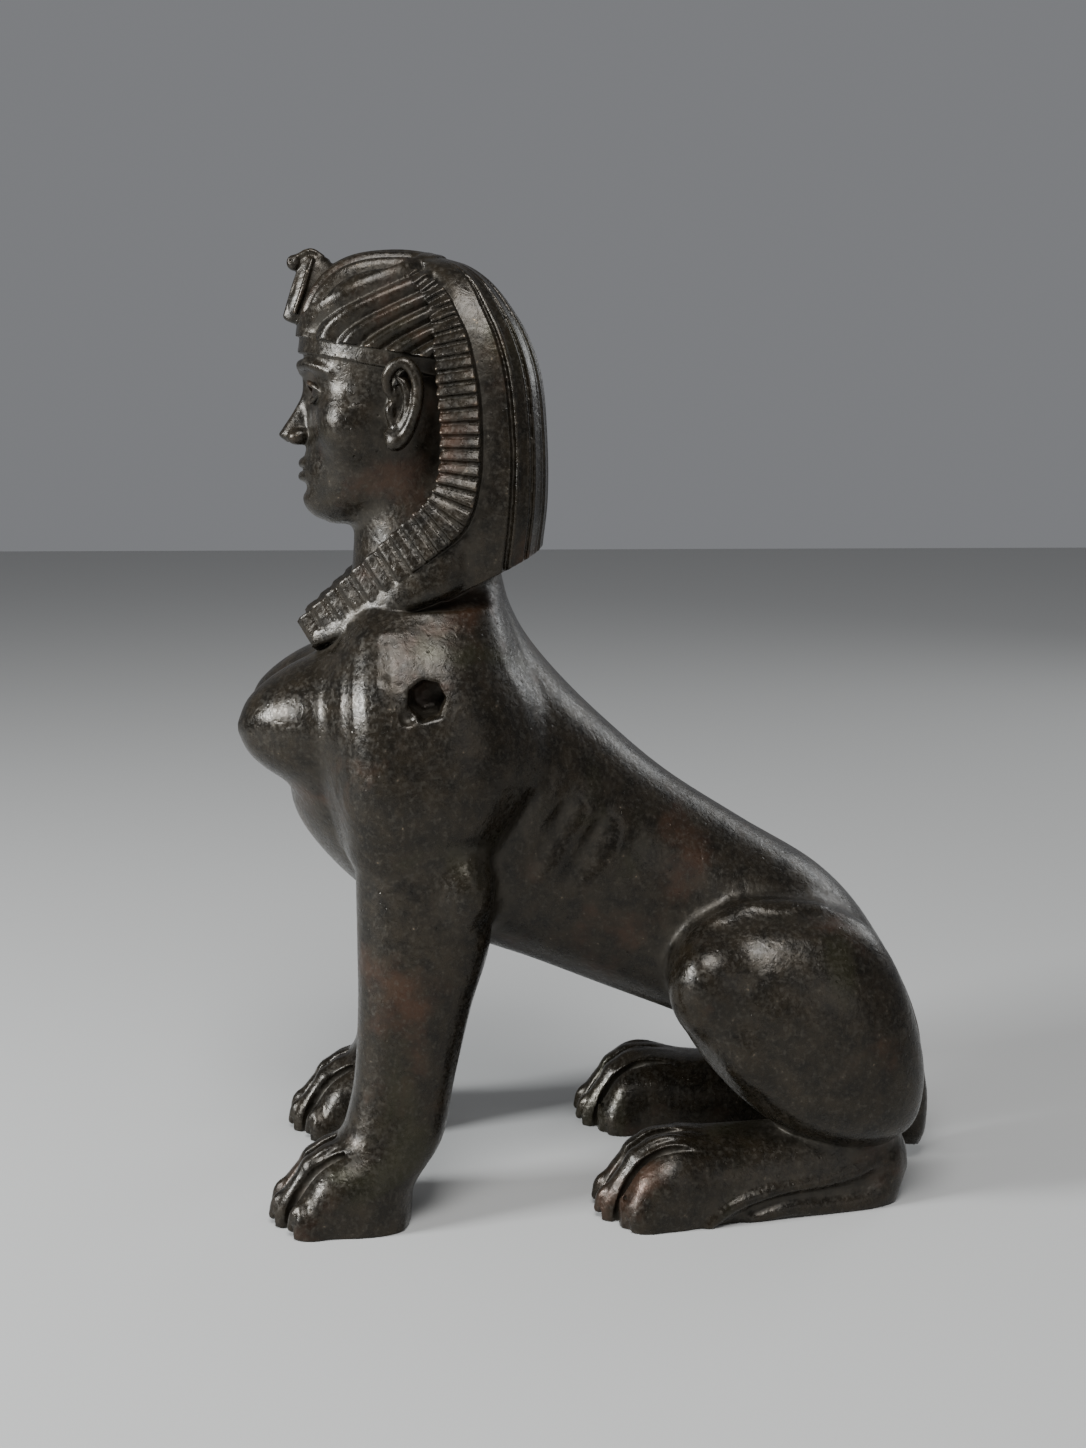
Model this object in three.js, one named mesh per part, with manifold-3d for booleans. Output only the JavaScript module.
// Sphinx statue: a seated, hollow-cast bronze sphinx with a striped headcloth, lion's paws and empty
// wing sockets. Millimetres, +Z up. The sphinx faces -Y, the mid-plane is X = 0, and the origin is under
// its middle on the floor.
import * as THREE from "three";
import { mergeVertices } from "three/addons/utils/BufferGeometryUtils.js";
import Module from "manifold-3d";

const wasm = await Module();
wasm.setup();

// Driving dimensions.
const FACE_FRONT = -124; // brow band and chin, along Y
const CHIN = 287;
const EYE_LINE = 338;
const NOSE_BASE = 317;
const MOUTH_LINE = 307;
const PAW_X = 56; // middle of each paw from the mid-plane
const FORE_TOE = -137; // furthest toe of a fore paw
const HIND_TOE = -3; // furthest toe of a hind paw
const TOE_COUNT = 4;
const TOE_PITCH = 14;
const SOCKET = { y: -71.5, z: 218.5, mouth: 8.8, throat: 6.6, depth: 15 }; // a lost wing's socket

// ---------------------------------------------------------------- geometry helpers

// A closed geometry as a solid with its faces pointing out.
function solid(geometry) {
  const bare = geometry.index ? geometry.toNonIndexed() : geometry.clone();
  const merged = mergeVertices(
    new THREE.BufferGeometry().setAttribute("position", bare.getAttribute("position")),
    1e-4,
  );
  const vertProperties = merged.attributes.position.array;
  const triVerts = new Uint32Array(merged.index.array);
  const made = new wasm.Manifold(new wasm.Mesh({ numProp: 3, vertProperties, triVerts }));
  if (made.volume() > 0) return made;
  for (let i = 0; i < triVerts.length; i += 3)
    [triVerts[i + 1], triVerts[i + 2]] = [triVerts[i + 2], triVerts[i + 1]];
  return new wasm.Manifold(new wasm.Mesh({ numProp: 3, vertProperties, triVerts }));
}

// The same geometry on both sides of the mid-plane.
const pair = (geometry) => [solid(geometry), solid(geometry.clone().scale(-1, 1, 1))];

const spline = (points) =>
  new THREE.CatmullRomCurve3(points.map((p) => new THREE.Vector3(...p)), false, "catmullrom", 0.5);

// Signed power, which turns a circle into a squarer or a more pointed oval.
const power = (value, exponent) => Math.sign(value) * Math.abs(value) ** exponent;

// Skin over rings that stand across the side view. Each ring is [[y, z], [y, z], x, half width]: the two
// points where its plane meets the side outline, how far its middle stands from the mid-plane, and half
// its width. domes rounds the two ends off by that many millimetres, and relief(corner) moves that corner
// outwards.
function loft(rings, { sides = 20, steps = 3, squareness = 2, domes = [0, 0], relief } = {}) {
  const first = spline(rings.map(([a]) => [0, ...a]));
  const second = spline(rings.map(([, b]) => [0, ...b]));
  const breadth = spline(rings.map(([, , x, w]) => [x, w, 0]));
  const count = (rings.length - 1) * steps;
  const frames = [];
  const frameAt = (t, size = 1, shift = 0) => {
    const a = first.getPoint(t);
    const b = second.getPoint(t);
    const { x, y: width } = breadth.getPoint(t);
    const middle = a.clone().add(b).multiplyScalar(0.5);
    const reach = b.clone().sub(a).multiplyScalar(0.5 * size);
    const ahead = new THREE.Vector3(0, -reach.z, reach.y).normalize();
    const way = first.getTangent(t).add(second.getTangent(t));
    if (ahead.dot(way) < 0) ahead.negate();
    middle.addScaledVector(ahead, shift);
    middle.x = x;
    return { middle, reach, width: width * size };
  };
  const DOME_RINGS = 2;
  const dome = (t, length, sign) => {
    for (let i = 1; i <= DOME_RINGS; i++) {
      const turn = (i / (DOME_RINGS + 0.35)) * (Math.PI / 2);
      frames.push(frameAt(t, Math.cos(turn), sign * length * Math.sin(turn)));
    }
  };
  if (domes[0]) {
    dome(0, domes[0], -1);
    frames.reverse();
  }
  for (let i = 0; i <= count; i++) frames.push(frameAt(i / count));
  if (domes[1]) dome(1, domes[1], 1);

  const position = [];
  const index = [];
  for (const { middle, reach, width } of frames)
    for (let j = 0; j < sides; j++) {
      const angle = (j / sides) * 2 * Math.PI;
      const across = power(Math.cos(angle), 2 / squareness);
      const along = power(Math.sin(angle), 2 / squareness);
      const point = middle.clone().addScaledVector(reach, along);
      point.x += width * across;
      if (relief) {
        const out = point.clone().sub(middle).normalize();
        point.addScaledVector(out, relief(j));
      }
      position.push(point.x, point.y, point.z);
    }
  for (let i = 0; i < frames.length - 1; i++)
    for (let j = 0; j < sides; j++) {
      const next = (j + 1) % sides;
      const [p, q] = [i * sides + j, i * sides + next];
      index.push(p, q, p + sides, q, q + sides, p + sides);
    }
  for (const [start, flip] of [[0, true], [(frames.length - 1) * sides, false]]) {
    const hub = position.length / 3;
    const { middle } = frames[start / sides];
    position.push(middle.x, middle.y, middle.z);
    for (let j = 0; j < sides; j++) {
      const [p, q] = [start + j, start + ((j + 1) % sides)];
      index.push(...(flip ? [q, p, hub] : [p, q, hub]));
    }
  }
  const geometry = new THREE.BufferGeometry();
  geometry.setAttribute("position", new THREE.Float32BufferAttribute(position, 3));
  return geometry.setIndex(index);
}

// An ellipsoid, turned about X by a tilt in degrees.
function ellipsoid([x, y, z], [rx, ry, rz], tilt = 0, segments = 16) {
  return new THREE.SphereGeometry(1, segments, segments / 2)
    .scale(rx, rz, ry)
    .rotateX(Math.PI / 2 + THREE.MathUtils.degToRad(tilt))
    .translate(x, y, z);
}

// A round bar of changing radius along a smooth path.
function bar(points, radii, { sides = 8, steps = 3 } = {}) {
  const path = spline(points);
  const size = spline(radii.map((r) => [r, 0, 0]));
  const count = (points.length - 1) * steps;
  const { normals, binormals } = path.computeFrenetFrames(count, false);
  const position = [];
  const index = [];
  for (let i = 0; i <= count; i++) {
    const centre = path.getPointAt(i / count);
    const radius = size.getPoint(i / count).x;
    for (let j = 0; j < sides; j++) {
      const angle = (j / sides) * 2 * Math.PI;
      const point = centre.clone()
        .addScaledVector(normals[i], radius * Math.cos(angle))
        .addScaledVector(binormals[i], radius * Math.sin(angle));
      position.push(point.x, point.y, point.z);
    }
  }
  for (let i = 0; i < count; i++)
    for (let j = 0; j < sides; j++) {
      const [p, q] = [i * sides + j, i * sides + ((j + 1) % sides)];
      index.push(p, q, p + sides, q, q + sides, p + sides);
    }
  for (const [ring, flip] of [[0, true], [count, false]]) {
    const hub = position.length / 3;
    const centre = path.getPointAt(ring / count);
    position.push(centre.x, centre.y, centre.z);
    for (let j = 0; j < sides; j++) {
      const [p, q] = [ring * sides + j, ring * sides + ((j + 1) % sides)];
      index.push(...(flip ? [q, p, hub] : [p, q, hub]));
    }
  }
  const geometry = new THREE.BufferGeometry();
  geometry.setAttribute("position", new THREE.Float32BufferAttribute(position, 3));
  return geometry.setIndex(index);
}

// ---------------------------------------------------------------- body

// Rump, belly, chest and neck: each ring runs from the under line to the back line.
function trunk() {
  return loft(
    [
      [[106, 46], [134, 62], 0, 22],
      [[88, 54], [132, 84], 0, 40],
      [[62, 60], [120, 111], 0, 50],
      [[34, 72], [99, 134], 0, 49],
      [[2, 84], [65, 155], 0, 43],
      [[-28, 96], [31, 177], 0, 44],
      [[-60, 108], [3, 201], 0, 50],
      [[-98, 127], [-16, 220], 0, 56],
      [[-127, 160], [-29, 236], 0, 58],
      [[-129, 190], [-36, 249], 0, 55],
      [[-120, 222], [-39, 259], 0, 46],
      [[-106, 252], [-41, 270], 0, 34],
      [[-102, 276], [-42, 286], 0, 29],
      [[-102, 312], [-48, 312], 0, 27],
    ],
    { sides: 14, steps: 2, squareness: 2.2, domes: [6, 0] },
  );
}

// A breast: a blunt cone that points forwards and a little outwards.
function breast() {
  const profile = [[31, 0], [30.5, 9], [27, 20], [20.5, 32], [12, 42], [0, 47]];
  const outline = [new THREE.Vector2(0, 0), ...profile.map((p) => new THREE.Vector2(...p))];
  return new THREE.LatheGeometry(outline, 14)
    .rotateX(Math.PI)
    .rotateX(THREE.MathUtils.degToRad(2))
    .rotateZ(THREE.MathUtils.degToRad(4))
    .translate(25, -103, 203);
}

// Shoulder and fore leg down to the wrist: level rings from the front edge to the back edge.
function foreLimb() {
  return loft(
    [
      [[-98, 249], [-46, 249], 32, 17],
      [[-104, 233], [-40, 233], 37, 26],
      [[-106, 210], [-34, 210], 41, 32],
      [[-104, 186], [-33, 186], 43, 33],
      [[-101, 167], [-39, 166], 46, 29],
      [[-101, 152], [-45, 152], 48, 22],
      [[-101, 118], [-46, 118], 50, 21],
      [[-101, 88], [-54.5, 88], 51.5, 20],
      [[-103, 58], [-61.5, 58], 53, 18.5],
      [[-108, 36], [-66.5, 34], 55, 19.5],
      [[-112, 12], [-77, 12], 56, 22],
    ],
    { sides: 12, steps: 1, squareness: 2.3, domes: [4, 0] },
  );
}

// The shoulder blade, which slopes from the shoulder back to the loin.
const shoulderBlade = () => ellipsoid([34, -58, 192], [28, 42, 36], 0, 12);

// The blunt elbow at the back of the leg's upper end.
const elbow = () => ellipsoid([60, -54.5, 143], [12.5, 9.5, 12.5], 0, 8);

// The pad of a fore paw behind its toes. It runs below the floor, which cuts it flat.
function forePad() {
  return loft(
    [
      [[-81, -12], [-82, 20], 55, 17],
      [[-91, -13], [-91, 33], 55.5, 23],
      [[-105, -13], [-105, 35], PAW_X, 27],
      [[-117, -12], [-118, 30], PAW_X, 27.5],
      [[-127, -8], [-128, 18], PAW_X, 23],
    ],
    { sides: 10, steps: 1, squareness: 2.5 },
  );
}

// A toe that comes down from its knuckle to the ground. The outer toes are lower and stand further back.
function toe(number, tip, knuckle, setback) {
  const place = number - (TOE_COUNT - 1) / 2;
  const y = tip + setback * (Math.abs(place) / 1.5) ** 2.6;
  const top = knuckle - 1.2 * place ** 2;
  const x = PAW_X + place * TOE_PITCH;
  const lean = place * 1.5;
  return loft(
    [
      [[y, -3], [y, 9], x, 3.6],
      [[y + 5, -8], [y + 5, top - 15], x, 6.8],
      [[y + 15, -8], [y + 14, top - 4], x - lean, 7.3],
      [[y + 26, 0], [y + 24, top], x - 2 * lean, 6.3],
      [[y + 40, 8], [y + 39, top - 1], x - 3 * lean, 4],
    ],
    { sides: 6, steps: 1, squareness: 2 },
  );
}

// The thigh: level rings from its lowest curve up to the crest under the loin.
function thigh() {
  return loft(
    [
      [[92, 27], [122, 27], 47, 14],
      [[72, 36], [131, 35], 49, 22],
      [[57, 48], [134.5, 46], 50, 27],
      [[44, 62], [135, 60], 50, 29.5],
      [[34, 77], [132, 76], 50, 30],
      [[28, 92], [127, 92], 49, 30],
      [[29, 107], [120, 107], 46, 28],
      [[37, 119], [111, 118], 42, 24],
      [[52, 127], [96, 125], 38, 16],
    ],
    { sides: 12, steps: 1, squareness: 2.3, domes: [2, 3] },
  );
}

// The long hind foot flat on the ground, from the heel to the toes' knuckles.
function hindFoot() {
  return loft(
    [
      [[130, 8], [126, 28], 40, 12],
      [[121, -9], [119, 32], 41, 18],
      [[100, -13], [98, 34], 44, 20.5],
      [[68, -13], [68, 33], 48, 23],
      [[46, -13], [46, 33], 52, 25],
      [[29, -13], [29, 35], PAW_X, 27],
      [[16, -12], [15, 31], PAW_X, 27.5],
      [[6, -8], [5, 18], PAW_X, 23],
    ],
    { sides: 10, steps: 1, squareness: 2.5 },
  );
}

// The tail drops down the rump and ends in a tuft between the heels.
function tail() {
  return bar([[0, 116, 104], [0, 130, 78], [0, 139, 54], [0, 142, 30]], [9, 8, 7, 6], { steps: 1 });
}

function tailTuft() {
  return loft(
    [
      [[133, 44], [148, 42], 0, 6],
      [[129, 30], [150, 29], 0, 9.5],
      [[130, 16], [149.5, 14], 0, 9.5],
      [[136, 7], [147, 6], 0, 5],
    ],
    { sides: 8, steps: 1, domes: [3, 2.5] },
  );
}

// ---------------------------------------------------------------- head

// Face and skull: level rings from under the chin to the brow.
function skull() {
  const front = FACE_FRONT;
  return loft(
    [
      [[front + 12, CHIN - 1], [-68, CHIN + 4], 0, 17],
      [[front + 4, CHIN + 6], [-60, CHIN + 9], 0, 23],
      [[front + 4, MOUTH_LINE], [-56, MOUTH_LINE], 0, 29.5],
      [[front + 4, NOSE_BASE], [-52, NOSE_BASE], 0, 33],
      [[front + 4, EYE_LINE - 6], [-48, EYE_LINE - 6], 0, 36],
      [[front + 1, EYE_LINE + 8], [-46, EYE_LINE + 8], 0, 37],
      [[front + 2, 362], [-44, 362], 0, 38],
      [[front + 9, 373], [-50, 373], 0, 33],
    ],
    { sides: 16, steps: 1, squareness: 2.3, domes: [4, 0] },
  );
}

// A plain straight nose between the brows and the upper lip.
function nose() {
  return loft(
    [
      [[FACE_FRONT - 1, EYE_LINE + 7], [FACE_FRONT + 12, EYE_LINE + 7], 0, 3.5],
      [[FACE_FRONT - 4, EYE_LINE - 4], [FACE_FRONT + 12, EYE_LINE - 4], 0, 4],
      [[FACE_FRONT - 10, NOSE_BASE + 5], [FACE_FRONT + 12, NOSE_BASE + 6], 0, 6],
      [[FACE_FRONT - 8, NOSE_BASE], [FACE_FRONT + 10, NOSE_BASE], 0, 6.5],
    ],
    { sides: 8, steps: 1, domes: [0, 1.5] },
  );
}

const lip = (z, depth, height) => ellipsoid([0, FACE_FRONT + 5.5, z], [10.5, depth, height], 0, 8);
const chinBall = () => ellipsoid([0, FACE_FRONT + 10, CHIN + 8], [12, 11, 9], 0, 8);

// An almond eye between two lids.
function eye() {
  return ellipsoid([14.4, FACE_FRONT + 8.5, EYE_LINE], [7.2, 5, 4], 0, 8);
}

function brow() {
  return bar(
    [
      [5, FACE_FRONT + 1, EYE_LINE + 7],
      [14, FACE_FRONT + 2, EYE_LINE + 9.5],
      [24, FACE_FRONT + 9, EYE_LINE + 7],
    ],
    [1.8, 2.2, 1.2],
    { sides: 6, steps: 2 },
  );
}

// An ear: a rim that curls round a shallow bowl, with the lobe below.
function ear() {
  const rim = bar(
    [
      [37, -85, 333], [41, -86, 343], [43, -81, 350], [44.5, -73, 347],
      [44.5, -71, 337], [43, -74, 325], [40, -80, 317], [37, -85, 319],
    ],
    [2, 2.4, 2.6, 2.6, 2.6, 2.6, 3, 2.4],
    { sides: 6, steps: 1 },
  );
  const bowl = ellipsoid([36.5, -78.5, 334], [5, 6.5, 15], -14, 8);
  return [rim, bowl];
}

// ---------------------------------------------------------------- headcloth

const BACK_RIBS = 7; // raised stripes down the back of the cloth
const CAP_RIBS = 7; // ribs of the cap on each side
const CAP_GROOVE = 0.9;
const CAP_SQUARE = 2.6; // how upright the front of the cap stands

// The cloth that falls from the crown behind the ears: each ring runs from its front edge to its back.
function mantle() {
  const sides = 4 * BACK_RIBS;
  const stripes = (corner) => {
    const fromBack = corner - sides / 4;
    return Math.abs(fromBack) < BACK_RIBS && fromBack % 2 ? -1.3 : 0;
  };
  return loft(
    [
      [[-72, 251], [-23, 275], 0, 46],
      [[-69, 280], [-21, 294], 0, 51],
      [[-66, 310], [-21, 316], 0, 50.5],
      [[-68, 340], [-23, 342], 0, 48.5],
      [[-72, 358], [-28, 359], 0, 45.5],
      [[-75, 371], [-35, 372], 0, 40.5],
      [[-74, 382], [-44, 383], 0, 33],
      [[-77, 390], [-56, 391], 0, 24],
      [[-82, 395.5], [-67, 397], 0, 12],
    ],
    { sides, steps: 1, squareness: 2.7, relief: stripes },
  );
}

// The cap over the skull, cut off along the brow band. Its ribs run from the brow back to the border.
function cap() {
  const shape = new THREE.SphereGeometry(1, 12, 4 * CAP_RIBS).rotateZ(Math.PI / 2);
  const position = shape.getAttribute("position");
  const point = new THREE.Vector3();
  for (let i = 0; i < position.count; i++) {
    point.fromBufferAttribute(position, i);
    const along = Math.hypot(point.y, point.z);
    const squared = Math.abs(point.y) ** CAP_SQUARE + Math.abs(point.z) ** CAP_SQUARE;
    const size = along > 1e-6 ? along / squared ** (1 / CAP_SQUARE) : 1;
    const turn = Math.acos(THREE.MathUtils.clamp(point.x, -1, 1));
    const row = Math.round((turn / Math.PI) * 4 * CAP_RIBS);
    const groove = row % 2 ? -CAP_GROOVE : CAP_GROOVE;
    point.set(41 * point.x, 41 * point.y * size, 50 * point.z * size).setLength(point.length() + groove);
    position.setXYZ(i, point.x, point.y, point.z);
  }
  shape.translate(0, -84, 346);
  const below = new THREE.BoxGeometry(200, 200, 100)
    .translate(0, 0, -50)
    .rotateX(THREE.MathUtils.degToRad(-10))
    .translate(0, FACE_FRONT, 361);
  return solid(shape).subtract(solid(below));
}

// The flat band across the forehead, which slopes down towards the ears.
function browBand() {
  const outline = new THREE.Shape().absellipse(0, 0, 39.5, 47, 0, 2 * Math.PI);
  return new THREE.ExtrudeGeometry(outline, { depth: 8, bevelEnabled: false, curveSegments: 10 })
    .rotateX(THREE.MathUtils.degToRad(-10))
    .translate(0, -77.5, 346);
}

// The pleated border: it frames the face from the crown, passes behind the ear and falls forward on the
// breast.
const PLEATS = 30; // pleats in each border
function border() {
  const path = spline([
    [23, -74, 388], [31, -72.5, 382.5], [38, -69, 373], [45, -62, 357], [48.5, -58, 340],
    [50, -57, 322], [50.5, -58, 304], [49.5, -63, 290], [45.5, -76, 277.5], [39.5, -90, 265.5],
    [32.5, -105, 252.5], [25, -121, 239],
  ]);
  const outwards = spline([
    [0.5, -0.3, 0.8], [0.65, -0.3, 0.7], [0.85, -0.3, 0.45], [0.95, -0.3, 0.15], [1, -0.3, 0],
    [1, -0.3, 0], [1, -0.3, 0], [1, -0.3, 0.1], [0.9, -0.35, 0.25], [0.85, -0.4, 0.3],
    [0.8, -0.45, 0.35], [0.75, -0.5, 0.35],
  ]);
  const halfBreadths = [4, 6, 8, 8.5, 8.5, 8.2, 8.5, 9.5, 9.5, 8.5, 7.8, 7];
  const breadths = spline(halfBreadths.map((half) => [half, 0, 0]));
  const position = [];
  const index = [];
  const PROUD = 3;
  const SUNK = 9;
  const stepsPerPleat = [[0.2, 1], [0.75, 0.4]];
  const corners = 4;
  const rings = [];
  for (let i = 0; i < PLEATS; i++)
    for (const [part, height] of stepsPerPleat)
      rings.push([1 - (1 - (i + part) / PLEATS) ** (1 / 1.3), height]);
  for (const [t, height] of rings) {
    const centre = path.getPoint(t);
    const out = outwards.getPoint(t).normalize();
    const side = path.getTangent(t).cross(out).normalize();
    const half = breadths.getPoint(t).x;
    const top = PROUD * height;
    for (const [across, up] of [[-1, -SUNK], [-1, top - 0.5], [1, top], [1, -SUNK]]) {
      const point = centre.clone().addScaledVector(side, across * half).addScaledVector(out, up);
      position.push(point.x, point.y, point.z);
    }
  }
  for (let i = 0; i < rings.length - 1; i++)
    for (let j = 0; j < corners; j++) {
      const [p, q] = [i * corners + j, i * corners + ((j + 1) % corners)];
      index.push(p, q, p + corners, q, q + corners, p + corners);
    }
  const last = (rings.length - 1) * corners;
  for (let j = 1; j < corners - 1; j++) index.push(j + 1, j, 0, last, last + j, last + j + 1);
  const geometry = new THREE.BufferGeometry();
  geometry.setAttribute("position", new THREE.Float32BufferAttribute(position, 3));
  return geometry.setIndex(index);
}

// The plain edge of the lappet below its pleats, tapering towards the breast.
function lappet() {
  return loft(
    [
      [[-48, 264], [-44, 290], 33, 9],
      [[-64, 255.5], [-58, 282], 39, 11.5],
      [[-84, 248.5], [-78, 270], 36, 11.5],
      [[-104, 239], [-99, 254], 29, 9.5],
      [[-119, 233.5], [-117, 242], 23, 7.5],
    ],
    { sides: 8, steps: 1, squareness: 4 },
  );
}

// The rearing cobra on the brow, joined to the cap all the way up its back.
function cobra() {
  const hood = loft(
    [
      [[-129.5, 368.5], [-117, 366], 0, 3.2],
      [[-127.5, 375], [-113, 372], 0, 4.8],
      [[-125.3, 381.5], [-109, 380], 0, 5.2],
      [[-123.2, 388.5], [-107, 387], 0, 4.4],
      [[-121, 394.5], [-110, 392], 0, 3],
    ],
    { sides: 8, steps: 1, squareness: 2.6, domes: [2, 2.5] },
  );
  return [hood, ellipsoid([0, -125, 391], [3, 3.2, 3.4], 0, 8)];
}

// ---------------------------------------------------------------- cuts

// The socket of a lost wing: a dished mouth round a deeper hole.
function socket() {
  const { y, z, mouth, throat, depth } = SOCKET;
  const outline = [[0, -depth], [throat, -depth], [throat, -3], [mouth, 1], [mouth, 30], [0, 30]];
  return new THREE.LatheGeometry(outline.map((p) => new THREE.Vector2(...p)), 9)
    .rotateZ(-Math.PI / 2)
    .translate(72, y, z);
}

const socketDent = () => ellipsoid([73, SOCKET.y - 14.5, SOCKET.z + 8], [4.5, 4.2, 4.5], 0, 10);

// ---------------------------------------------------------------- the cast piece

const toes = Array.from({ length: TOE_COUNT }, (_, i) => i);
const pairs = [
  breast(), foreLimb(), shoulderBlade(), elbow(), forePad(), thigh(), hindFoot(),
  eye(), brow(), ...ear(), border(), lappet(),
  ...toes.flatMap((i) => [toe(i, FORE_TOE, 35.5, 9), toe(i, HIND_TOE, 36, 11.5)]),
];
const middles = [
  trunk(), tail(), tailTuft(), skull(), nose(), lip(MOUTH_LINE + 3, 4.5, 3), lip(MOUTH_LINE - 2.5, 4, 3),
  chinBall(), mantle(), browBand(), ...cobra(),
];
let cast = cap();
for (const form of [...middles.map(solid), ...pairs.flatMap(pair)]) cast = cast.add(form);
for (const cut of [...pair(socket()), ...pair(socketDent())]) cast = cast.subtract(cut);
// The feet are ground flat where they stand.
const floor = solid(new THREE.BoxGeometry(400, 500, 60).translate(0, 0, -30));
cast = cast.subtract(floor);

const { vertProperties, triVerts } = cast.getMesh();
const geometry = new THREE.BufferGeometry();
geometry.setAttribute("position", new THREE.BufferAttribute(new Float32Array(vertProperties), 3));
geometry.setIndex(new THREE.BufferAttribute(new Uint32Array(triVerts), 1));
geometry.computeVertexNormals();

const bronze = new THREE.MeshStandardMaterial({ color: 0x2b241c, metalness: 0.85, roughness: 0.38 });
const sphinx = new THREE.Mesh(geometry, bronze);
sphinx.name = "sphinx";

const statue = new THREE.Group();
statue.add(sphinx);

export default statue;
